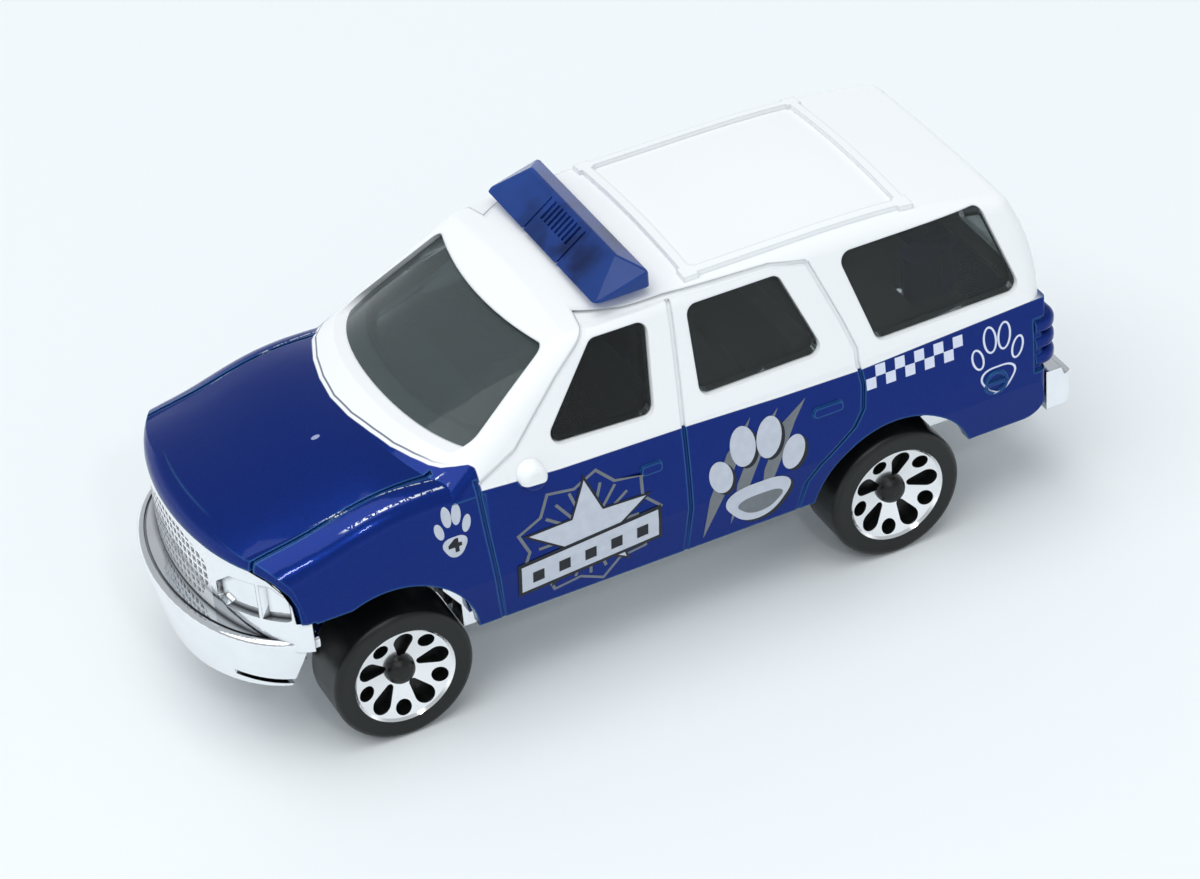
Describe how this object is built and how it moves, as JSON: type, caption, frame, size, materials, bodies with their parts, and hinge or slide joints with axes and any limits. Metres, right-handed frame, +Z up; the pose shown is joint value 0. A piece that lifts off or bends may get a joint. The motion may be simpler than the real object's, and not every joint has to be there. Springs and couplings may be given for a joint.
{
  "type": "die-cast toy police car",
  "caption": "Small die-cast toy of a four-door police utility car, with a chrome plastic base, smoked window insert, blue roof light bar and free-rolling wheels.",
  "frame": {"origin": "on the ground under the middle of the overall length, on the centre line", "axes": "+X forward, +Y to the car's left, +Z up"},
  "size_m": [0.0768, 0.0298, 0.0333],
  "materials": {
    "enamel": "gloss metallic blue lower half, gloss white upper half",
    "chrome": "vacuum plated plastic",
    "smoke_clear": "smoked clear polystyrene",
    "tub_plastic": "moulded black plastic",
    "blue_clear": "clear blue polystyrene",
    "steel": "plain drawn wire",
    "wheel_plastic": "black plastic with a chrome foil face"
  },
  "bodies": {
    "chassis": {"body_shell": "enamel", "base": "chrome", "glazing": "smoke_clear", "interior": "tub_plastic", "light_bar": "blue_clear", "axle_front": "steel", "axle_rear": "steel"},
    "wheel_front_left_spin_body": {"wheel_front_left": "wheel_plastic"},
    "wheel_front_right_spin_body": {"wheel_front_right": "wheel_plastic"},
    "wheel_rear_left_spin_body": {"wheel_rear_left": "wheel_plastic"},
    "wheel_rear_right_spin_body": {"wheel_rear_right": "wheel_plastic"}
  },
  "joints": [
    {"name": "spin_front_left", "type": "hinge", "parent": "chassis", "child": "wheel_front_left_spin_body", "pos_m": [0.02345, 0.0115, 0.00595], "axis": [0, 1, 0], "continuous": true},
    {"name": "spin_front_right", "type": "hinge", "parent": "chassis", "child": "wheel_front_right_spin_body", "pos_m": [0.02345, -0.0115, 0.00595], "axis": [0, 1, 0], "continuous": true},
    {"name": "spin_rear_left", "type": "hinge", "parent": "chassis", "child": "wheel_rear_left_spin_body", "pos_m": [-0.02105, 0.0115, 0.00595], "axis": [0, 1, 0], "continuous": true},
    {"name": "spin_rear_right", "type": "hinge", "parent": "chassis", "child": "wheel_rear_right_spin_body", "pos_m": [-0.02105, -0.0115, 0.00595], "axis": [0, 1, 0], "continuous": true}
  ]
}
